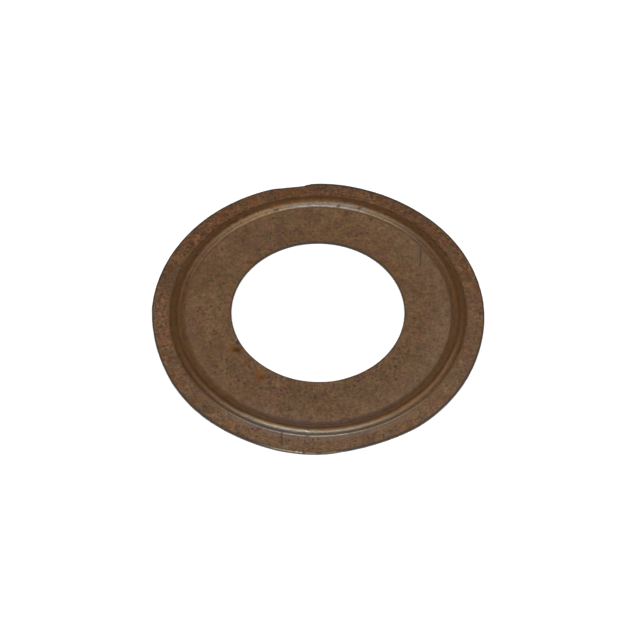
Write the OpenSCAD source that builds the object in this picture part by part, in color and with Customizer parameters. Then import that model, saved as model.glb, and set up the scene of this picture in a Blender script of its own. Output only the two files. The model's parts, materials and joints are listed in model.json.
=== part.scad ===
// Pressed steel washer: a thin ring stamped from sheet, with a raised round bead near the rim.
// The whole washer is one piece of sheet, so the bead on the top face is a groove on the underside.
// Origin: centre of the bore, on the underside. The bead stands up along +Z.

/* [Ring] */
// Outside diameter of the blank
outer_d = 67.7; // [64:0.1:100]
// Diameter of the bore
bore_d = 35.2; // [20:0.1:48]
// Thickness of the sheet
thickness = 0.6; // [0.4:0.05:1]
// Radius of the rolled-over top edge at the bore and at the rim
edge_r = 0.15; // [0.05:0.05:0.25]

/* [Bead] */
// Diameter of the circle that the crest of the bead follows
bead_d = 57.7; // [50:0.1:60]
// Width of the bead between its two feet
bead_w = 3.24; // [3:0.02:4.4]
// Height of the crest above the flat top face
bead_h = 0.54; // [0.4:0.02:0.7]
// Radius of the crest on the top face
crest_r = 1.8; // [1.2:0.05:2]

/* [Rim damage] */
// Depth of the nick that the shear left in the rim
nick_depth = 0.4; // [0.1:0.02:0.8]
// Length of the nick along the rim, from its deep end to where it runs out
nick_l = 6.2; // [3:0.1:10]
// Where the deep end of the nick is, counter-clockwise from +X
nick_angle = 95; // [80:0.5:110]
// Depth of the shallow flat on the left of the rim
left_flat_depth = 0.25; // [0.05:0.05:0.4]
// Where the left flat is, counter-clockwise from +X
left_flat_angle = 195; // [180:1:200]
// Depth of the shallow flat on the front of the rim
front_flat_depth = 0.28; // [0.05:0.02:0.4]
// Where the front flat is, counter-clockwise from +X
front_flat_angle = 289; // [280:1:300]
// Length of each flat along the rim
flat_l = 19; // [14:0.5:26]

/* [Hidden] */
$fn = 240;

outer_r = outer_d / 2;
bore_r = bore_d / 2;
bead_r = bead_d / 2;
// The bead's section is three arcs that meet without a corner: a foot, the crest and a foot.
// They turn through the same slope, which follows from the height and the width.
half_w = bead_w / 2;
slope = 2 * atan(bead_h / half_w);
foot_r = half_w / sin(slope) - crest_r;
// Reach of a cutter past the surface that it cuts
over = 1;
patina = [0.43, 0.33, 0.24];

// Rise of a face of the sheet at the bead, x from the crest line: the face lies at this depth
// under the top face, so the arcs of both faces share their centres
module rise(depth) {
    base = thickness - depth;
    crest = crest_r - depth;
    crest_y = thickness + bead_h - crest_r;
    // Point where the crest's arc meets the foot's
    meet = crest * [sin(slope), cos(slope)] + [0, crest_y];
    difference() {
        polygon([
            [-half_w, base - over],
            [half_w, base - over],
            [half_w, base],
            meet,
            [-meet[0], meet[1]],
            [-half_w, base]
        ]);
        for (side = [0, 1])
            mirror([side, 0])
                translate([half_w, thickness + foot_r]) circle(r = foot_r + depth);
    }
    intersection() {
        translate([0, crest_y]) circle(r = crest);
        translate([-meet[0], base]) square([2 * meet[0], bead_h]);
    }
}

// Rolled-over corner to take off a section: the tool leaves it at the top edge of a cut
module rolled_corner(edge_x, side) {
    translate([edge_x, thickness]) mirror([side, 0]) difference() {
        translate([-edge_r, -edge_r]) square(edge_r + over);
        translate([-edge_r, -edge_r]) circle(r = edge_r);
    }
}

// Whole section of the ring, x from the axis
module ring_section() {
    difference() {
        union() {
            translate([bore_r, 0]) square([outer_r - bore_r, thickness]);
            translate([bead_r, 0]) rise(0);
        }
        translate([bead_r, 0]) rise(thickness);
        rolled_corner(bore_r, 1);
        rolled_corner(outer_r, 0);
    }
}

// Straight cut across the rim: deep at one end, with a short step, and running out at the other
module rim_nick() {
    run_out = nick_angle + nick_l / outer_r * 180 / PI;
    step = nick_angle - 2 * nick_depth / outer_r * 180 / PI;
    past_r = outer_r + over;
    translate([0, 0, -over])
        linear_extrude(height = thickness + 2 * over)
            polygon([
                (outer_r - nick_depth) * [cos(nick_angle), sin(nick_angle)],
                outer_r * [cos(run_out), sin(run_out)],
                past_r * [cos(run_out), sin(run_out)],
                past_r * [cos(step), sin(step)],
                outer_r * [cos(step), sin(step)]
            ]);
}

// Disc that keeps all but a shallow flat of the rim: a wider circle through the flat's middle and ends
module flat_keeper(depth, angle) {
    half_angle = flat_l / 2 / outer_r * 180 / PI;
    half_chord = outer_r * sin(half_angle);
    bulge = outer_r * (1 - cos(half_angle)) - depth;
    wide_r = (half_chord ^ 2 + bulge ^ 2) / (2 * bulge);
    rotate(angle)
        translate([outer_r - depth - wide_r, 0, -over])
            cylinder(r = wide_r, h = thickness + bead_h + 2 * over);
}

module washer() {
    color(patina) difference() {
        intersection() {
            rotate_extrude() ring_section();
            flat_keeper(left_flat_depth, left_flat_angle);
            flat_keeper(front_flat_depth, front_flat_angle);
        }
        rim_nick();
    }
}

washer();
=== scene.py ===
"""Pressed steel washer, browned and lightly rusted, lying flat on a white floor.

The ring's mesh is lathed here from the same sizes as the solid, with the small unevenness of a
sheared and pressed sheet: outlines that aren't quite round, a nick, a slow wave and a slight dish.
Sizes are in millimetres, also in the steel's material, until a mesh or the camera is made. The
lamps and the floor are in metres.
"""
import json
import math
import bpy
import numpy as np
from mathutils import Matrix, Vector, noise


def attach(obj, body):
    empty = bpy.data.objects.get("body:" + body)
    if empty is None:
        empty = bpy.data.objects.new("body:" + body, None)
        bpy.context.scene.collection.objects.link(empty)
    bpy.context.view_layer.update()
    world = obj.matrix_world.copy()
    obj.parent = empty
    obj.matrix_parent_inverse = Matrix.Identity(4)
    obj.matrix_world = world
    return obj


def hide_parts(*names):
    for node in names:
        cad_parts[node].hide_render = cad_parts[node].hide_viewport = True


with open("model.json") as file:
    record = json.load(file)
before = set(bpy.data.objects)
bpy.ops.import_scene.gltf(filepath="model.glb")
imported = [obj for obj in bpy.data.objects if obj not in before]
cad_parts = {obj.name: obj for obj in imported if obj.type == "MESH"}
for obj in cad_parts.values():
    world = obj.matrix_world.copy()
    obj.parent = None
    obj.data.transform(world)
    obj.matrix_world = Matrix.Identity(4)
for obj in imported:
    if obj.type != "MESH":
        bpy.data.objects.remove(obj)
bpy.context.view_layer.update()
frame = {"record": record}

MM = 0.001
WHITE = (1, 1, 1, 1)

# Sizes of the ring, the same as the solid's
MOUNTS = {mount["name"]: mount for mount in frame["record"]["mounts"]}
BORE_R = MOUNTS["bore"]["dims"]["r_mm"]
THICKNESS = MOUNTS["top_face"]["pos_m"][2] / MM
OUTER_R = 33.85
EDGE_R = 0.15
BEAD_R = 28.85
BEAD_HALF_W = 1.62
BEAD_H = 0.54
CREST_R = 1.8
NICK_DEPTH = 0.4
NICK_L = 6.2
NICK_ANGLE = 95
FLAT_L = 19
# Depth of each shallow flat of the rim and where its middle is, counter-clockwise from +X
FLATS = ((0.25, 195), (0.28, 289))

# The bead's section is three arcs that turn through the same slope: foot, crest, foot
SLOPE = 2 * math.atan(BEAD_H / BEAD_HALF_W)
FOOT_R = BEAD_HALF_W / math.sin(SLOPE) - CREST_R
INNER_FOOT = BEAD_R - BEAD_HALF_W
OUTER_FOOT = BEAD_R + BEAD_HALF_W

# Soft bulges (+) and dents (-) that the sheared outlines keep besides: angle, millimetres, half width
RIM_SWELLS = (
    (54, -0.12, 14), (85, 0.14, 9), (93.4, -0.18, 0.7), (99, -0.08, 6), (104, -0.07, 2.2), (129, 0.08, 22),
    (210, -0.12, 11), (241, -0.09, 11), (262, 0.13, 11), (271, 0.07, 6), (303, 0.04, 10), (342, -0.08, 12),
)
BORE_SWELLS = ((235, -0.13, 22), (280, 0.05, 9))
# The bore's swells fade out over this width
BORE_SWELL_W = 3
# Ragged edge of the rim: how much, over what width, the length of its waves along the rim, how many
# times shorter they are up the cut wall, and a number that shifts the noise
RAGGED = 0.025
RAGGED_W = 0.3
RAGGED_L = 1.1
RAGGED_UP = 4
RAGGED_SEED = 3.7
# Waves through the sheet: height, length and a number that shifts the noise
WAVES = ((0.035, 17, 0.4), (0.012, 5, 8.2))
# Dish that the press left in the top face along the bead's inner foot
DISH_DEPTH = 0.035
DISH_R = INNER_FOOT - 0.35
DISH_W = 0.55
# The top face has closer points from here to the bead, for the dish
DISHED_FROM = INNER_FOOT - 1.6
# The underside and the walls end this far from the sharp lower corners, which leaves a tiny chamfer
CORNER_GAP = 0.03

# Points around the ring
AROUND = 720
# Edges that turn by more than this many degrees are shaded sharp
SHARP_ANGLE = 38

# Spots seen from above: x, y and radius. Thin rust on the flange and by the bore
RUST_SPOTS = (
    (-30.8, -11, 1), (-29.5, -12.3, 1), (-28.5, -16, 0.9), (-24, -22, 1), (-30.4, 10.7, 1.1),
    (-20.5, 25, 1.1), (-13.8, 29.7, 1.2), (-6.5, 31.4, 1.4), (13.3, 29.6, 1.2), (24.3, 20.7, 1),
    (30.6, 9.2, 1.1), (17.6, -28, 1), (13.3, 12.5, 1), (16.2, 9.8, 1), (-14.2, 12.2, 1), (-14.2, -13, 0.8),
)
# Small dark spots
DARK_SPOTS = (
    (11.4, 23.9, 0.6), (10.4, 20, 0.5), (9.1, 20.1, 0.4), (18.9, 17.8, 0.45), (20.4, 8.7, 0.4),
    (26, -1.6, 0.4), (33.1, -1, 0.6), (-12.3, 15.6, 0.6), (-23.1, -1.1, 0.45), (-31.8, -4.2, 0.6),
    (-18.2, -12.4, 0.5), (-22.1, -23.4, 0.6), (-14.4, -30.1, 0.65), (-11.6, -28.6, 0.5),
    (-5.5, -24.1, 0.5), (-0.6, -21.3, 0.5), (-3.7, -19.9, 0.45), (-8.7, -19, 0.45), (-20.4, -15.4, 0.5),
    (-18.9, -15, 0.4), (-7.9, -23.1, 0.4), (-16.3, -8.1, 0.4), (-16, -8.5, 0.35),
)
# Olive patches of the flange
OLIVE_PATCHES = ((-28.8, -13.6, 1.2), (27.6, 15.4, 1.3), (21, 23.5, 0.8))

# Lines seen from above: start, end and width. Deep scratches and dings
DEEP_MARKS = (
    ((21.6, 16.2), (21.3, 11.2), 0.3),
    ((-7, -29.3), (-7, -32), 0.35),
    ((11.2, -29.3), (10.4, -30.6), 0.3),
    ((-1.7, -30), (-2.2, -30), 0.35),
    ((6, -29.4), (6.4, -29.3), 0.35),
    ((4.2, 27.3), (4.6, 27.4), 0.4),
    ((-9.2, 26.2), (-8.5, 26.4), 0.4),
    ((8.7, 26.6), (9.1, 26.7), 0.4),
)
FAINT_SCRATCHES = (((21, 15.8), (20.8, 12.2), 0.2), ((9.4, -22), (12.1, -18.5), 0.3))
# Rust in the bare metal of the bead's far slope
SLOPE_RUST = (((-16.4, 23.4), (-16.1, 23.6), 0.5), ((-8, 27.4), (-7.7, 27.5), 0.4))
# Thin bare scratches beside the deep one at the front
BARE_SCRATCHES = (((-6.5, -31.6), (-6.5, -33.2), 0.15), ((-6, -32), (-5.9, -33.2), 0.15))
# Painted glints at the brightest points of the burred front edge
BURR_GLINTS = (((-4.1, -33.5), (-4.1, -34.2), 0.3), ((-3.3, -33.5), (-3.3, -34.2), 0.3))
# Shaded parts of the inner ring and darker patches of the flange
SHADED_PARTS = (((-9, 21), (-13, 18), 6), ((8, -21), (12, -19), 7))
DARK_PATCHES = (((-31.2, 6), (-30.4, 11), 4), ((-23.6, -21.6), (-21.6, -23.6), 3))
# x at the middle of the bead's bright stretches
BRIGHT_MIDDLE_X = 1.5
# Depth of the grain and the pits
RELIEF_DEPTH = 0.02

# The photo's camera: the picture's size in pixels, the height above the floor in degrees, the
# distance to the bore's centre and the focal length in pixels
PHOTO_PX = 640
CAMERA_ELEVATION = 53.71
CAMERA_DISTANCE = 305.4
FOCAL_PX = 1497.6
# Pixel of the photo at which the centre of the bore's underside lies
CENTRE_PX = (317.98, 311.35)
SENSOR_W = 36

WARM = (1, 0.93, 0.82)
# Soft boxes, in metres: name, place, width, depth, power and colour
LAMPS = (
    ("overhead", (0.0, 0.05, 1.6), 2.4, 1.2, 7.5, (1, 0.97, 0.92)),
    ("middle", (0.0, -0.22, 1.55), 0.6, 0.35, 6, (0.92, 0.97, 1)),
    ("left", (-0.55, 0.08, 1.55), 0.45, 0.4, 3, WARM),
    ("right", (0.55, 0.08, 1.55), 0.45, 0.4, 3, WARM),
    ("front", (0.0, -1.1, 0.75), 0.9, 0.9, 4.5, (1, 1, 1)),
    ("side_right", (0.75, 0.6, 1.4), 0.4, 0.4, 1.0, (1, 1, 1)),
)
WORLD_STRENGTH = 0.2
# Half the floor's side, in metres
FLOOR_HALF = 2.0
FLOOR_COLOR = (0.86, 0.86, 0.86, 1)
# Glow of the floor where the camera or a reflection sees it, which makes it white
FLOOR_GLOW = 0.35


def smooth(x, low, high):
    """0 below low, 1 above high and a smooth step between."""
    t = np.clip((x - low) / (high - low), 0, 1)
    return t * t * (3 - 2 * t)


def bell(x, middle, width):
    return np.exp(-((x - middle) / width) ** 2)


def angle_between(a, b):
    """Signed angle from b to a, in degrees, from -180 to 180."""
    return (a - b + 180) % 360 - 180


def rise(radius, depth):
    """Height of a face of the sheet over its own flat; the face lies depth under the top face."""
    x = np.abs(radius - BEAD_R)
    crest = CREST_R - depth
    foot = FOOT_R + depth
    crest_z = BEAD_H - CREST_R + depth
    over_crest = crest_z + np.sqrt(np.maximum(crest ** 2 - x ** 2, 0))
    from_foot = np.clip(BEAD_HALF_W - x, 0, BEAD_HALF_W)
    over_foot = foot - np.sqrt(np.maximum(foot ** 2 - from_foot ** 2, 0))
    return np.where(x < crest * math.sin(SLOPE), over_crest, over_foot)


def flat(radius, height):
    """Points of a flat stretch of the section, as radius and height."""
    return radius, np.full(radius.shape, height)


def section():
    """Closed outline of the sheet's section as radius and height, from the bore's top edge outwards."""
    turn = np.radians(np.linspace(0, 90, 6))
    edge_z = THICKNESS - EDGE_R
    wall = np.linspace(edge_z, CORNER_GAP, 5)
    over_bead = np.linspace(INNER_FOOT, OUTER_FOOT, 41)
    under_bead = np.linspace(OUTER_FOOT, INNER_FOOT, 21)
    stretches = [
        (BORE_R + EDGE_R - EDGE_R * np.cos(turn), edge_z + EDGE_R * np.sin(turn)),
        flat(np.linspace(BORE_R + EDGE_R, DISHED_FROM, 22)[1:], THICKNESS),
        flat(np.linspace(DISHED_FROM, INNER_FOOT, 9)[1:-1], THICKNESS),
        (over_bead, THICKNESS + rise(over_bead, 0)),
        flat(np.linspace(OUTER_FOOT, OUTER_R - EDGE_R, 12)[1:-1], THICKNESS),
        (OUTER_R - EDGE_R + EDGE_R * np.sin(turn), edge_z + EDGE_R * np.cos(turn)),
        (np.full(4, OUTER_R), wall[1:]),
        flat(np.linspace(OUTER_R - CORNER_GAP, OUTER_FOOT, 7)[:-1], 0),
        (under_bead, rise(under_bead, THICKNESS)),
        flat(np.linspace(INNER_FOOT, BORE_R + CORNER_GAP, 14)[1:], 0),
        (np.full(4, BORE_R), wall[:0:-1]),
    ]
    radius, height = (np.concatenate(part) for part in zip(*stretches))
    return radius, height


def flat_radius(angle, depth, middle):
    """Rim radius where a wider circle cuts a shallow flat."""
    half = FLAT_L / 2 / OUTER_R
    lift = OUTER_R * (1 - math.cos(half)) - depth
    wide = ((OUTER_R * math.sin(half)) ** 2 + lift ** 2) / (2 * lift)
    centre = OUTER_R - depth - wide
    off = np.radians(angle_between(angle, middle))
    reach = centre * np.cos(off) + np.sqrt(wide ** 2 - (centre * np.sin(off)) ** 2)
    return np.where(np.abs(off) < half, reach, OUTER_R)


def line_radius(angle, start, end):
    """Distance from the axis to the straight line through two points, along each angle."""
    (ax, ay), (bx, by) = start, end
    across = np.cos(np.radians(angle)) * (by - ay) - np.sin(np.radians(angle)) * (bx - ax)
    return (ax * by - ay * bx) / across


def polar(radius, angle):
    return radius * math.cos(math.radians(angle)), radius * math.sin(math.radians(angle))


def nick_radius(angle):
    """Rim radius along the nick: a short step down, then a straight edge that runs out."""
    step = NICK_ANGLE - math.degrees(2 * NICK_DEPTH / OUTER_R)
    run_out = NICK_ANGLE + math.degrees(NICK_L / OUTER_R)
    deep = polar(OUTER_R - NICK_DEPTH, NICK_ANGLE)
    down = line_radius(angle, polar(OUTER_R, step), deep)
    along = line_radius(angle, deep, polar(OUTER_R, run_out))
    radius = np.where(angle < NICK_ANGLE, down, along)
    return np.where((angle > step) & (angle < run_out), radius, OUTER_R)


def swell(angle, swells):
    return sum(depth * bell(angle_between(angle, middle), 0, width) for middle, depth, width in swells)


def rim_radius(angle):
    radius = np.full(angle.shape, OUTER_R)
    for depth, middle in FLATS:
        radius = np.minimum(radius, flat_radius(angle, depth, middle))
    return np.minimum(radius, nick_radius(angle)) + swell(angle, RIM_SWELLS)


def noise_field(x, y, z, size, seed):
    """Smooth noise from -1 to 1 at points in millimetres; size is the distance over which it changes."""
    points = np.stack([x, y, z], -1).reshape(-1, 3) / size + seed
    values = [noise.noise(Vector(point)) for point in points]
    return np.array(values).reshape(x.shape)


def ring_vertices():
    radius, height = section()
    angle = np.arange(AROUND) * 360 / AROUND
    r, a = np.meshgrid(radius, angle)
    z = np.meshgrid(height, angle)[0]
    # The rim's outline pulls the flange in with it
    near_rim = smooth(r, OUTER_FOOT, OUTER_R)
    near_bore = smooth(r, BORE_R + BORE_SWELL_W, BORE_R)
    c, s = np.cos(np.radians(a)), np.sin(np.radians(a))
    ragged = RAGGED * noise_field(c * OUTER_R, s * OUTER_R, z * RAGGED_UP, RAGGED_L, RAGGED_SEED)
    r = r + (rim_radius(a) - OUTER_R) * near_rim + ragged * smooth(r, OUTER_R - RAGGED_W, OUTER_R)
    r = r + swell(a, BORE_SWELLS) * near_bore
    # Sheet steel is never quite flat
    x, y = r * c, r * s
    wave = sum(high * noise_field(x, y, 0 * x, size, seed) for high, size, seed in WAVES)
    on_top = smooth(z, 0.5 * THICKNESS, 0.9 * THICKNESS)
    dish = DISH_DEPTH * bell(r, DISH_R, DISH_W) * on_top
    z = z + wave - dish
    return np.stack([x, y, z - z.min()], -1).reshape(-1, 3)


def ring_mesh():
    points = ring_vertices()
    radius = section()[0]
    count = len(radius)
    faces = []
    for i in range(AROUND):
        here, there = i * count, (i + 1) % AROUND * count
        for j in range(count):
            k = (j + 1) % count
            faces.append((here + j, there + j, there + k, here + k))
    mesh = bpy.data.meshes.new("washer_ring")
    mesh.from_pydata([tuple(point) for point in points * MM], [], faces)
    # The material finds the cut edges by the radius, in millimetres, that a point has in the section
    blank = mesh.attributes.new("blank_radius", "FLOAT", "POINT")
    blank.data.foreach_set("value", np.tile(radius, AROUND).astype(np.float32))
    mesh.update()
    mesh.shade_smooth()
    mesh.set_sharp_from_angle(angle=math.radians(SHARP_ANGLE))
    return mesh


def srgb(r, g, b):
    """Linear colour from 0 to 255 screen values."""
    def linear(v):
        v /= 255
        return v / 12.92 if v <= 0.04045 else ((v + 0.055) / 1.055) ** 2.4
    return linear(r), linear(g), linear(b), 1


class Tree:
    """Short calls that add a shader node and give back its output."""

    def __init__(self, material):
        material.use_nodes = True
        self.nodes = material.node_tree.nodes
        self.links = material.node_tree.links
        self.shader = self.nodes["Principled BSDF"]

    def put(self, socket, value):
        if isinstance(value, bpy.types.NodeSocket):
            self.links.new(value, socket)
        elif value is not None:
            socket.default_value = value

    def math(self, operation, a, b=None):
        node = self.nodes.new("ShaderNodeMath")
        node.operation = operation
        self.put(node.inputs[0], a)
        self.put(node.inputs[1], b)
        return node.outputs[0]

    def fold(self, operation, values):
        """One value out of several, by a chain of nodes."""
        result, *rest = values
        for value in rest:
            result = self.math(operation, result, value)
        return result

    def product(self, *values):
        """Values multiplied: the part that masks share, or a mask made weaker."""
        return self.fold("MULTIPLY", values)

    def highest(self, *values):
        """The highest value: masks joined."""
        return self.fold("MAXIMUM", values)

    def step(self, value, low, high, to_low=0, to_high=1):
        """Smooth step from to_low to to_high as the value goes from low to high."""
        node = self.nodes.new("ShaderNodeMapRange")
        node.interpolation_type = "SMOOTHSTEP"
        for socket, v in zip(node.inputs, (value, low, high, to_low, to_high)):
            self.put(socket, v)
        return node.outputs[0]

    def mix(self, factor, a, b, blend="MIX"):
        node = self.nodes.new("ShaderNodeMix")
        node.data_type = "RGBA"
        node.blend_type = blend
        self.put(node.inputs["Factor"], factor)
        self.put(node.inputs[6], a)
        self.put(node.inputs[7], b)
        return node.outputs[2]


class Steel(Tree):
    """The ring's node tree. A mask is 1 where it holds and 0 elsewhere; lengths are in millimetres."""

    def __init__(self, material):
        super().__init__(material)
        place = self.nodes.new("ShaderNodeTexCoord").outputs["Object"]
        self.place = self.vector("MULTIPLY", place, (1 / MM, 1 / MM, 1 / MM))
        split = self.nodes.new("ShaderNodeSeparateXYZ")
        self.put(split.inputs[0], self.place)
        self.x, self.y, self.z = split.outputs
        squares = self.product(self.x, self.x), self.product(self.y, self.y)
        self.radius = self.math("SQRT", self.math("ADD", *squares))
        self.from_crest = self.math("SUBTRACT", self.radius, BEAD_R)
        # Sideways distance from the middle of the bead's bright stretches
        self.from_middle = self.math("ABSOLUTE", self.math("SUBTRACT", self.x, BRIGHT_MIDDLE_X))
        attribute = self.nodes.new("ShaderNodeAttribute")
        attribute.attribute_name = "blank_radius"
        self.blank = attribute.outputs["Fac"]
        # Noises and masks that more than one of the steps below needs
        self.mottle = self.noise(1.7, 3, 0.6)
        self.grain = self.noise(0.7, 4, 0.75)
        self.streak = self.noise(0.3, 3, 0.6, self.place_along_ring())
        self.flange = self.step(self.radius, OUTER_FOOT - 0.8, OUTER_FOOT + 0.4)
        self.crest = self.ring(BEAD_R - 0.1, 0.7)
        self.drawn = self.drawn_mask()
        # The surface colour so far, which each step paints over
        self.color = None

    def vector(self, operation, a, b):
        node = self.nodes.new("ShaderNodeVectorMath")
        node.operation = operation
        self.put(node.inputs[0], a)
        self.put(node.inputs[1], b)
        return node.outputs["Value" if operation == "DISTANCE" else "Vector"]

    def place_along_ring(self):
        """Place with the way round the ring shortened, so that spots of noise become streaks along it.

        Each turn gets the length of a circle with the radius shortened_r.
        """
        shortened_r = 6
        turned = self.nodes.new("ShaderNodeCombineXYZ")
        self.put(turned.inputs[0], self.product(self.math("DIVIDE", self.x, self.radius), shortened_r))
        self.put(turned.inputs[1], self.product(self.math("DIVIDE", self.y, self.radius), shortened_r))
        self.put(turned.inputs[2], self.radius)
        return turned.outputs[0]

    def drawn_mask(self):
        """The bead's drawn metal.

        It reaches further in at the front, and further out on the right and on the far side.
        """
        inwards = self.math("ADD", self.from_crest, self.step(self.y, -5, -18, 0, 0.15))
        further = self.math("ADD", self.step(self.x, -5, 20, 0, 0.12), self.step(self.y, 0, 15, 0, 0.14))
        outwards = self.math("SUBTRACT", self.from_crest, further)
        inside = self.step(inwards, -BEAD_HALF_W - 0.45, -BEAD_HALF_W - 0.05)
        outside = self.step(outwards, BEAD_HALF_W + 0.15, BEAD_HALF_W - 0.45)
        return self.product(inside, outside)

    def noise(self, size, detail=2, rough=0.5, place=None):
        """Noise from 0 to 1 whose patches are about size across."""
        node = self.nodes.new("ShaderNodeTexNoise")
        self.put(node.inputs["Vector"], self.place if place is None else place)
        node.inputs["Scale"].default_value = 1 / size
        node.inputs["Detail"].default_value = detail
        node.inputs["Roughness"].default_value = rough
        return node.outputs["Fac"]

    def vary(self, value, low, high):
        """A noise's usual range spread from low to high."""
        return self.step(value, 0.3, 0.7, low, high)

    def spots(self, apart, radius):
        """Round spots with a soft edge that lie about apart from each other; some cells stay bare."""
        soft = 0.06
        node = self.nodes.new("ShaderNodeTexVoronoi")
        self.put(node.inputs["Vector"], self.place)
        node.inputs["Scale"].default_value = 1 / apart
        share = self.nodes.new("ShaderNodeSeparateColor")
        self.put(share.inputs[0], node.outputs["Color"])
        reach = self.product(share.outputs[0], radius / apart)
        gap = self.math("SUBTRACT", node.outputs["Distance"], reach)
        return self.step(gap, soft, -soft)

    def span(self, value, start, end):
        """Mask that comes in over the first pair of values and goes out over the second."""
        return self.product(self.step(value, *start), self.step(value, *end))

    def weaker(self, mask, share):
        """1 outside the mask, less by the share inside it."""
        return self.math("SUBTRACT", 1, self.product(mask, share))

    def ring(self, middle, width):
        """Circle round the axis, fading out over width."""
        off = self.math("ABSOLUTE", self.math("SUBTRACT", self.radius, middle))
        return self.step(off, width, 0)

    def arc(self, middle, width, x=None, y=None):
        """Part of such a circle: x and y each come in over a pair of values."""
        mask = self.ring(middle, width)
        if x:
            mask = self.product(mask, self.step(self.x, *x))
        if y:
            mask = self.product(mask, self.step(self.y, *y))
        return mask

    def line(self, start, end, width):
        """Straight line between two points seen from above, fading out over width."""
        length = math.dist(start, end)
        along_x, along_y = (end[0] - start[0]) / length, (end[1] - start[1]) / length
        off_x = self.math("SUBTRACT", self.x, start[0])
        off_y = self.math("SUBTRACT", self.y, start[1])
        along = self.math("ADD", self.product(off_x, along_x), self.product(off_y, along_y))
        across = self.math("SUBTRACT", self.product(off_y, along_x), self.product(off_x, along_y))
        from_middle = self.math("ABSOLUTE", self.math("SUBTRACT", along, length / 2))
        past_end = self.math("SUBTRACT", from_middle, length / 2)
        return self.step(self.highest(self.math("ABSOLUTE", across), past_end), width, 0)

    def lines(self, lines):
        return self.highest(*[self.line(*line) for line in lines])

    def blot(self, x, y, radius):
        """Round spot on the top face, seen from above, with a soft edge."""
        distance = self.vector("DISTANCE", self.place, (x, y, THICKNESS))
        return self.step(distance, radius, 0.3 * radius)

    def blots(self, blots):
        return self.highest(*[self.blot(*blot) for blot in blots])

    def tint(self, mask, amount, tone):
        """Mixes a tone into the colour inside the mask."""
        self.color = self.mix(self.product(mask, amount), self.color, tone)

    def shade(self, mask, factor):
        """Multiplies the colour inside the mask."""
        self.color = self.mix(mask, self.color, factor, "MULTIPLY")


def paint_oxide(steel):
    """Brown oxide with slow, mottled and grainy changes of shade, which are fainter along the bead's foot."""
    slow = steel.vary(steel.noise(9, 3, 0.6), 0, 1)
    steel.color = steel.mix(slow, srgb(95, 65, 38), srgb(108, 79, 52))
    by_foot = steel.span(steel.radius, (22, 25), (29, 27))
    at_sides = steel.product(by_foot, steel.step(steel.math("ABSOLUTE", steel.x), 8, 20))
    hue = steel.noise(2.6, 2, 0.6)
    cloudy = steel.weaker(by_foot, 0.35)
    steel.tint(steel.step(hue, 0.62, 0.42, 0, 0.34), cloudy, srgb(102, 78, 44))
    steel.tint(steel.step(hue, 0.5, 0.66, 0, 0.42), cloudy, srgb(107, 68, 49))
    steel.shade(steel.weaker(at_sides, 0.25), steel.vary(steel.mottle, 0.79, 1.18))
    steel.shade(steel.weaker(at_sides, 0.15), steel.vary(steel.grain, 0.65, 1.37))


def paint_flange(steel):
    """The flange outside the bead is browner and more speckled, most of all on the far side and the left."""
    flange = steel.flange
    far = steel.product(flange, steel.step(steel.y, -12, 22))
    left = steel.product(flange, steel.step(steel.x, -8, -22))
    off_axis = steel.step(steel.math("ABSOLUTE", steel.y), 6, 14)
    right = steel.product(flange, steel.step(steel.x, -4, 8), off_axis)
    coarse = steel.noise(0.45, 2, 0.6)
    steel.shade(flange, (0.98, 0.96, 0.95, 1))
    steel.shade(flange, steel.vary(coarse, 0.67, 1.33))
    steel.shade(far, steel.vary(coarse, 0.7, 1.3))
    steel.shade(right, steel.vary(steel.noise(0.3, 1), 0.74, 1.26))
    cast = steel.noise(0.75, 2, 0.6)
    steel.tint(steel.product(flange, steel.step(cast, 0.5, 0.64)), 0.4, srgb(112, 78, 34))
    steel.tint(steel.product(flange, steel.step(cast, 0.5, 0.36)), 0.42, srgb(90, 66, 62))
    specks = steel.noise(1.1, 2, 0.6)
    speckled = steel.highest(far, left)
    steel.tint(steel.product(speckled, steel.step(specks, 0.54, 0.66)), 0.3, srgb(126, 68, 28))
    steel.tint(steel.product(speckled, steel.step(specks, 0.46, 0.36)), 0.42, srgb(60, 47, 28))
    steel.shade(left, steel.step(coarse, 0.32, 0.68, 0.78, 1.2))
    steel.shade(far, (0.83, 0.72, 0.58, 1))


def paint_broad_parts(steel):
    """Parts of the sheet that are bluer or darker than the rest."""
    steel.shade(steel.step(steel.radius, 24, 26), (1.03, 1.06, 1.13, 1))
    by_foot = steel.span(steel.radius, (20, 25), (28, 27))
    bluer = steel.product(by_foot, steel.highest(steel.step(steel.x, 10, 20), steel.blot(-7, -25.5, 6)))
    steel.shade(bluer, (1.01, 1.06, 1.2, 1))
    steel.tint(steel.lines(SHADED_PARTS), 0.3, srgb(84, 60, 40))
    steel.tint(steel.lines(DARK_PATCHES), 0.5, srgb(72, 50, 26))


def paint_rust(steel):
    """Thin orange rust in patches near the rim and the bore, and in spots. Gives back the spots' mask."""
    patches = steel.step(steel.noise(3.2, 3, 0.65), 0.52, 0.66)
    patches = steel.product(patches, steel.step(steel.mottle, 0.35, 0.6))
    edges = steel.highest(steel.flange, steel.step(steel.radius, BORE_R + 2.5, BORE_R))
    steel.tint(steel.product(patches, edges), 0.4, srgb(112, 60, 22))
    broken = steel.step(steel.noise(0.6), 0.35, 0.6, 0.3, 1)
    spots = steel.product(steel.blots(RUST_SPOTS), broken)
    steel.tint(spots, 0.8, srgb(104, 61, 26))
    return spots


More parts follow.
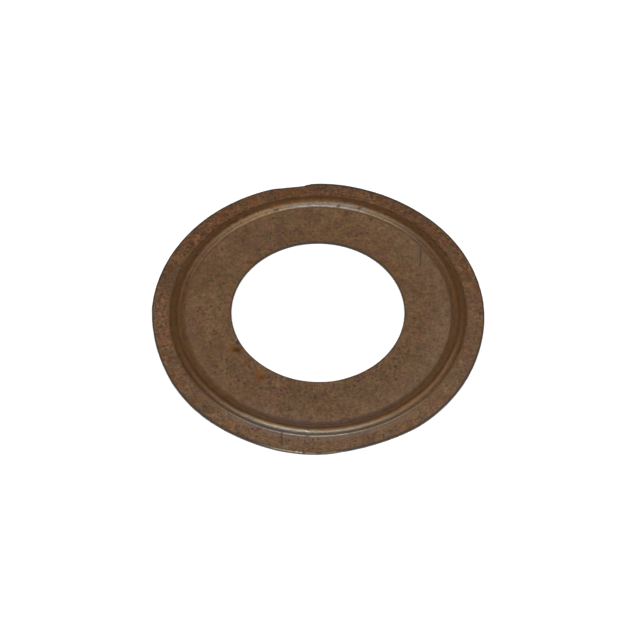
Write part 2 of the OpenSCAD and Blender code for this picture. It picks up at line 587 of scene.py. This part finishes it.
def paint_bead(steel):
    """The drawn metal of the bead is darker than the flat sheet, most of all over its crest."""
    x, y, from_crest = steel.x, steel.y, steel.from_crest
    # Outside the crest it is lighter on the near side, apart from the left end: painted light on the slope
    # that faces the front lamp and the camera
    near_side = steel.product(steel.step(y, -5, -24), steel.step(x, -25, -13))
    outer_tone = steel.mix(near_side, srgb(78, 50, 18), srgb(98, 68, 36))
    inner_tone = steel.mix(steel.step(y, -20, -28), srgb(90, 62, 34), srgb(85, 65, 53))
    steel.tint(steel.drawn, 0.9, steel.mix(steel.step(from_crest, -0.7, 0.5), inner_tone, outer_tone))
    # On the far side the crest is lighter and more orange, a painted sheen; elsewhere it is dark
    far_crest = steel.mix(steel.step(x, 0, 9), srgb(110, 70, 27), srgb(98, 68, 36))
    steel.tint(steel.crest, 0.85, steel.mix(steel.step(y, 24, 29.5), srgb(76, 42, 10), far_crest))
    # Lines along it: orange on the near crest, the warm upper edge of the painted highlight; dark on the near
    # left;
    # dark at the inner foot on the right; and on the near right a light one, a painted glint, and a brown one
    near = steel.step(steel.math("SUBTRACT", y, steel.product(x, 0.2)), -22, -28)
    steel.tint(steel.product(near, steel.ring(BEAD_R + 0.1, 0.35)), 0.6, srgb(128, 84, 26))
    steel.tint(steel.arc(BEAD_R - 0.3, 0.5, (-12.5, -14.5), (-14, -18)), 0.3, srgb(58, 32, 8))
    steel.tint(steel.arc(INNER_FOOT + 0.05, 0.35, (5, 24)), 0.5, srgb(60, 42, 28))
    steel.tint(steel.arc(BEAD_R + 0.15, 0.3, (14, 19), (-7, -12)), 0.35, srgb(132, 98, 66))
    steel.tint(steel.arc(BEAD_R + 0.75, 0.4, (14, 19), (-7, -12)), 0.4, srgb(90, 58, 24))
    steel.shade(steel.drawn, steel.vary(steel.streak, 0.8, 1.2))
    far = steel.product(steel.drawn, steel.step(y, 5, 14))
    steel.shade(far, steel.vary(steel.noise(1.1, 3, 0.7), 0.82, 1.18))


def paint_wear_and_highlights(steel):
    """Scuffed, bared metal on the inner slope on the far side and on the outer slope on the near side, with a
    painted highlight over it where these slopes face the camera.

    Gives back the near side's mask and that of both.
    """
    x, y, from_crest = steel.x, steel.y, steel.from_crest
    # The far bared metal and its painted highlight have a ragged upper edge and are wider on the left and
    # right of the middle
    wider_right = steel.product(steel.step(x, 2, 6), steel.step(x, 14, 9, 0, 0.2))
    wider = steel.math("ADD", wider_right, steel.step(x, -9, -13, 0, 0.15))
    ragged = steel.math("ADD", from_crest, steel.vary(steel.noise(0.5), -0.26, 0.26))
    above = steel.step(steel.math("SUBTRACT", ragged, wider), -0.35, -0.7)
    inner_slope = steel.product(above, steel.step(from_crest, -BEAD_HALF_W - 0.05, -BEAD_HALF_W + 0.2))
    outer_slope = steel.span(from_crest, (-0.05, 0.4), (BEAD_HALF_W + 0.05, BEAD_HALF_W - 0.2))
    far_wear_and_highlight = steel.product(inner_slope, steel.step(y, 14, 26), steel.step(x, 26, 12))
    near_wear_and_highlight = steel.product(outer_slope, steel.step(y, -23, -30.5, 0, 0.8))
    scuffed = steel.step(steel.noise(0.5, 2, 0.7), 0.3, 0.6, 0.4, 1.1)
    scuffed = steel.product(scuffed, steel.step(steel.streak, 0.3, 0.5, 0.7, 1))
    wear_and_highlight = steel.product(steel.highest(far_wear_and_highlight, near_wear_and_highlight), scuffed)
    # Painted highlight where the far bared metal runs out on the left, filling the dip between two
    # reflections
    steel.tint(steel.arc(BEAD_R - 1.05, 0.4, (-17, -21), (8, 12)), 0.45, srgb(122, 85, 44))
    # Lighter tones of the bared metal and its painted highlight: neutral in the middle, warmer to the sides
    # on the far slope, greyer on the left of the near slope
    side_tone = steel.mix(steel.step(x, -5, 5), srgb(134, 106, 75), srgb(122, 100, 76))
    far_tone = steel.mix(steel.step(steel.from_middle, 11, 5), side_tone, srgb(121, 110, 99))
    near_tone = steel.mix(steel.step(x, -6, 2), srgb(122, 120, 114), srgb(114, 106, 92))
    steel.tint(wear_and_highlight, 0.9, steel.mix(steel.step(y, -5, 5), near_tone, far_tone))
    return near_wear_and_highlight, wear_and_highlight


def paint_bead_lines(steel):
    """Thin lines along the bead's near side, among them painted shade and the edges of the painted highlight,
    and painted glints in its bared metal.
    """
    x, y, streak = steel.x, steel.y, steel.streak
    # Painted shade: a dark line on the steep part of the slope between the highlight on the crest and the one
    # on the foot, fainter on the right
    between = steel.arc(BEAD_R + 1.02, 0.34, y=(-23, -29))
    steel.tint(between, steel.step(x, 4, 10, 0.65, 0.4), srgb(58, 50, 42))
    # Upper edge of the crest's painted highlight: yellow on the left, warm in the middle and on the right
    edge = steel.arc(BEAD_R + 0.15, 0.3, y=(-22, -26))
    yellow = steel.product(edge, steel.span(x, (-15.5, -13.5), (-5.5, -7.5)))
    steel.tint(yellow, 0.3, srgb(150, 128, 66))
    steel.shade(steel.product(edge, steel.step(x, -7, -3)), (0.94, 0.92, 0.78, 1))
    # Painted shade that makes the foot's reflection weaker in the middle
    steel.shade(steel.arc(OUTER_FOOT - 0.27, 0.3, (-6, -3), (-24, -27)), (0.88, 0.88, 0.86, 1))
    # Painted glints in the bared metal of the near and the far slope
    near_glint = steel.arc(BEAD_R + 0.45, 0.26, (1, -4), (-25, -28))
    steel.tint(steel.product(near_glint, steel.step(streak, 0.35, 0.6, 0.4, 1)), 0.28, srgb(192, 186, 166))
    far_glint = steel.arc(BEAD_R - 1.18, 0.28, y=(25, 27.4))
    steel.tint(steel.product(far_glint, steel.step(streak, 0.35, 0.6, 0.3, 1)), 0.3, srgb(188, 180, 168))
    # The flange just outside the foot is lighter and bluer, and the foot is dark at the sides
    steel.tint(steel.arc(OUTER_FOOT + 0.4, 0.6, y=(-6, -24)), 0.15, srgb(120, 96, 70))
    steel.tint(steel.arc(OUTER_FOOT + 0.35, 0.6, y=(-23, -28)), 0.45, srgb(113, 92, 88))
    at_sides = steel.step(steel.from_middle, 2, 11)
    foot_line = steel.product(steel.arc(OUTER_FOOT - 0.27, 0.35, y=(-8, -18)), at_sides)
    steel.tint(foot_line, 0.45, srgb(64, 46, 26))


def paint_marks(steel):
    """Short brown marks that all lie one way on the inner ring. Gives back the mask of its busy parts."""
    stretched = steel.vector("MULTIPLY", steel.place, (1, 0.45, 1))
    marks = steel.step(steel.noise(0.42, 2, 0.6, stretched), 0.45, 0.36)
    busy = steel.highest(steel.step(steel.y, -9, -16), steel.blot(-6, 18.5, 7))
    busy = steel.product(busy, steel.step(steel.radius, 25, 22))
    groups = steel.step(steel.noise(5), 0.4, 0.6, 0.3, 1)
    marks = steel.product(marks, steel.step(steel.radius, 27, 26), steel.highest(groups, busy))
    steel.tint(marks, steel.step(busy, 0, 1, 0.54, 0.7), srgb(72, 46, 26))
    return busy


def paint_pits(steel, busy, wear_and_highlight):
    """Fine dark pits, closest on the flange, on the left and in the busy parts. Gives back their mask."""
    crowded = steel.math("ADD", steel.noise(6), steel.product(steel.flange, 0.08))
    crowded = steel.math("ADD", crowded, steel.product(busy, 0.08))
    crowded = steel.math("SUBTRACT", crowded, steel.step(steel.x, -4, 10, 0, 0.07))
    crowded = steel.step(crowded, 0.42, 0.62, 0.3, 1)
    pits = steel.highest(steel.spots(0.9, 0.26), steel.spots(2.2, 0.38))
    pits = steel.product(pits, crowded, steel.step(wear_and_highlight, 0.1, 0.6, 1, 0.55))
    steel.tint(pits, 0.8, srgb(54, 36, 18))
    steel.tint(steel.product(steel.spots(0.6, 0.24), crowded), 0.5, srgb(66, 42, 26))
    return pits


def paint_stains(steel):
    """Olive patches, rust stains with dark cores by the bore, dark spots. Gives back the stains' mask."""
    steel.tint(steel.blots(OLIVE_PATCHES), 0.5, srgb(86, 74, 44))
    left = steel.line((-17, -9.7), (-16.1, -9.9), 1.5)
    front = steel.line((-11.7, -15.6), (-11.6, -16.6), 1.4)
    steel.tint(left, 0.8, srgb(104, 65, 22))
    steel.tint(steel.line((-16.4, -10), (-16, -10.1), 0.9), 0.95, srgb(60, 35, 6))
    steel.tint(front, 0.8, srgb(114, 70, 28))
    steel.tint(steel.line((-11.2, -16.6), (-10.9, -16.7), 0.8), 0.9, srgb(86, 48, 12))
    steel.tint(steel.blots(DARK_SPOTS), 0.7, srgb(60, 38, 18))
    # A dark dent in the bore's edge with a light rim
    steel.tint(steel.line((-16.2, -8.3), (-16.1, -7.9), 0.4), 0.9, srgb(44, 34, 20))
    steel.tint(steel.line((-16.5, -7.4), (-16.4, -7.6), 0.35), 0.6, srgb(128, 112, 90))
    return steel.highest(left, front)


def paint_scratches(steel):
    """Scratches and dings, dark ones and light ones of bared metal, and a painted glint on a ding. Gives back
    the mask of the deep ones.
    """
    deep = steel.lines(DEEP_MARKS)
    steel.tint(deep, 0.75, srgb(56, 38, 24))
    steel.tint(steel.lines(SLOPE_RUST), 0.6, srgb(126, 74, 32))
    steel.tint(steel.lines(FAINT_SCRATCHES), 0.35, srgb(66, 44, 26))
    # A painted glint on a ding at the front, joined with the light scratches
    ding_glint = steel.line((-2.2, -29.3), (-1.8, -29.35), 0.25)
    bare_and_glint = steel.highest(steel.product(steel.lines(BARE_SCRATCHES), 0.4), ding_glint)
    steel.tint(bare_and_glint, 0.5, srgb(176, 166, 148))
    return deep


def paint_edges(steel):
    """Cut edges are nearly black; the shear left a lighter wall, and near the front the top edge is burred
    and has a painted highlight along it.
    """
    x, y, blank = steel.x, steel.y, steel.blank
    far_rim = steel.product(steel.step(blank, OUTER_R - 0.9, OUTER_R - 0.4), steel.step(y, 20, 28))
    steel.tint(steel.product(far_rim, steel.step(x, 0, 4)), 0.75, srgb(60, 48, 38))
    rim = steel.step(blank, OUTER_R - 0.5, OUTER_R - 0.15)
    lip = steel.step(blank, BORE_R + 0.35, BORE_R + 0.1)
    steel.tint(steel.highest(rim, lip), 0.9, srgb(48, 36, 22))
    front = steel.step(y, -20, -32)
    low = steel.step(steel.z, THICKNESS - 0.05, THICKNESS - 0.2)
    wall = steel.product(low, steel.step(blank, OUTER_R - 0.1, OUTER_R - 0.02), front)
    fresh = steel.span(x, (-3, -2), (6, 4))
    steel.tint(wall, 0.9, steel.mix(fresh, srgb(54, 44, 34), srgb(112, 104, 96)))
    # Painted highlight along the rolled edge at the front, from the left: over the burred stretch, then a
    # brown stretch and an olive one
    high = steel.math("SUBTRACT", 1, low)
    corner = steel.product(front, high, steel.step(blank, OUTER_R - 0.25, OUTER_R - 0.16))
    broken = steel.step(steel.noise(0.8), 0.35, 0.55, 0.5, 1)
    burr_and_highlight = steel.product(steel.span(x, (-12.5, -6.5), (-2.7, -3.1)), broken)
    steel.tint(steel.product(burr_and_highlight, corner), 0.8, srgb(166, 148, 126))
    steel.tint(steel.product(steel.lines(BURR_GLINTS), corner), 0.9, srgb(205, 198, 184))
    steel.tint(steel.product(steel.span(x, (-2.7, -2.3), (0, -0.8)), corner), 0.8, srgb(134, 112, 94))
    steel.tint(steel.product(steel.span(x, (0.4, 1), (3.8, 3.2)), corner), 0.8, srgb(120, 101, 52))


def set_gloss(steel, near_wear_and_highlight, wear_and_highlight, hollows, rusted):
    """The bead is smoother than the sheet, its crest and the rust are dull, and the scuffed, bared metal of
    the slopes is metallic.
    """
    inputs = steel.shader.inputs
    feet = steel.highest(steel.ring(INNER_FOOT + 0.4, 0.5), steel.ring(OUTER_FOOT - 0.4, 0.5))
    far_drawn = steel.product(steel.drawn, steel.step(steel.y, 8, 24))
    rough = steel.step(steel.grain, 0.2, 0.8, 0.42, 0.52)
    changes = (steel.drawn, -0.14), (feet, -0.15), (near_wear_and_highlight, -0.02), (far_drawn, 0.16), (hollows, 0.2)
    for mask, change in changes:
        rough = steel.math("ADD", rough, steel.product(mask, change))
    steel.put(inputs["Roughness"], rough)
    far_crest = steel.product(steel.step(steel.from_crest, -0.6, -0.1), steel.step(steel.y, 8, 22))
    dull = steel.product(steel.drawn, steel.highest(far_crest, steel.product(steel.crest, 0.6)))
    steel.put(inputs["Specular IOR Level"], steel.step(steel.highest(dull, rusted), 0, 1, 0.5, 0.26))
    steel.put(inputs["Metallic"], steel.product(wear_and_highlight, 0.4))
    inputs["IOR"].default_value = 1.42


def set_relief(steel, pits, deep):
    """The grain stands up a little; pits and deep scratches are cut in."""
    bump = steel.nodes.new("ShaderNodeBump")
    bump.inputs["Distance"].default_value = RELIEF_DEPTH * MM
    bump.inputs["Strength"].default_value = 0.35
    relief = steel.math("SUBTRACT", steel.math("SUBTRACT", steel.grain, pits), deep)
    steel.put(bump.inputs["Height"], relief)
    steel.put(steel.shader.inputs["Normal"], bump.outputs[0])


def browned_steel():
    material = bpy.data.materials.new("browned_steel")
    steel = Steel(material)
    paint_oxide(steel)
    paint_flange(steel)
    paint_broad_parts(steel)
    rust_spots = paint_rust(steel)
    paint_bead(steel)
    near_wear_and_highlight, wear_and_highlight = paint_wear_and_highlights(steel)
    paint_bead_lines(steel)
    busy = paint_marks(steel)
    pits = paint_pits(steel, busy, wear_and_highlight)
    stains = paint_stains(steel)
    deep = paint_scratches(steel)
    paint_edges(steel)
    steel.put(steel.shader.inputs["Base Color"], steel.color)
    set_gloss(steel, near_wear_and_highlight, wear_and_highlight, steel.highest(pits, deep), steel.highest(stains, rust_spots))
    set_relief(steel, pits, deep)
    return material


def add_ring():
    ring = bpy.data.objects.new("pressed_ring", ring_mesh())
    bpy.context.scene.collection.objects.link(ring)
    ring.data.materials.append(browned_steel())
    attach(ring, "root")
    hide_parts("washer")


def add_camera():
    data = bpy.data.cameras.new("camera")
    data.sensor_width = SENSOR_W
    data.lens = FOCAL_PX / PHOTO_PX * SENSOR_W
    data.clip_start = 0.01
    camera = bpy.data.objects.new("camera", data)
    tilt = math.radians(CAMERA_ELEVATION)
    back = Vector((0, -math.cos(tilt), math.sin(tilt)))
    scale = CAMERA_DISTANCE / FOCAL_PX
    aim_x = (PHOTO_PX / 2 - CENTRE_PX[0]) * scale
    aim_y = -(PHOTO_PX / 2 - CENTRE_PX[1]) * scale / math.sin(tilt)
    aim = Vector((aim_x, aim_y, 0)) * MM
    camera.location = back * CAMERA_DISTANCE * MM
    camera.rotation_euler = (aim - camera.location).to_track_quat("-Z", "Y").to_euler()
    bpy.context.scene.collection.objects.link(camera)
    bpy.context.scene.camera = camera


def add_lamp(name, place, width, depth, power, color):
    """Soft box that faces the washer; place, width and depth in metres."""
    data = bpy.data.lights.new(name, "AREA")
    data.shape = "RECTANGLE"
    data.size = width
    data.size_y = depth
    data.energy = power
    data.color = color
    lamp = bpy.data.objects.new(name, data)
    lamp.location = place
    lamp.rotation_euler = (-Vector(place)).to_track_quat("-Z", "Y").to_euler()
    bpy.context.scene.collection.objects.link(lamp)


def floor_material():
    material = bpy.data.materials.new("white_table")
    tree = Tree(material)
    inputs = tree.shader.inputs
    inputs["Base Color"].default_value = FLOOR_COLOR
    inputs["Roughness"].default_value = 0.9
    inputs["Specular IOR Level"].default_value = 0.1
    path = tree.nodes.new("ShaderNodeLightPath")
    rays = "Is Camera Ray", "Is Glossy Ray", "Is Transmission Ray"
    seen = tree.highest(*[path.outputs[ray] for ray in rays])
    inputs["Emission Color"].default_value = WHITE
    tree.put(inputs["Emission Strength"], tree.product(seen, FLOOR_GLOW))
    return material


def add_floor():
    half = FLOOR_HALF
    mesh = bpy.data.meshes.new("floor")
    corners = [(-half, -half, 0), (half, -half, 0), (half, half, 0), (-half, half, 0)]
    mesh.from_pydata(corners, [], [(0, 1, 2, 3)])
    mesh.materials.append(floor_material())
    floor = bpy.data.objects.new("floor", mesh)
    bpy.context.scene.collection.objects.link(floor)


def add_light():
    world = bpy.data.worlds.new("world")
    world.use_nodes = True
    background = world.node_tree.nodes["Background"]
    background.inputs["Color"].default_value = WHITE
    background.inputs["Strength"].default_value = WORLD_STRENGTH
    bpy.context.scene.world = world
    for lamp in LAMPS:
        add_lamp(*lamp)


add_camera()
add_floor()
add_light()
add_ring()

bpy.context.scene.view_settings.view_transform = "Standard"
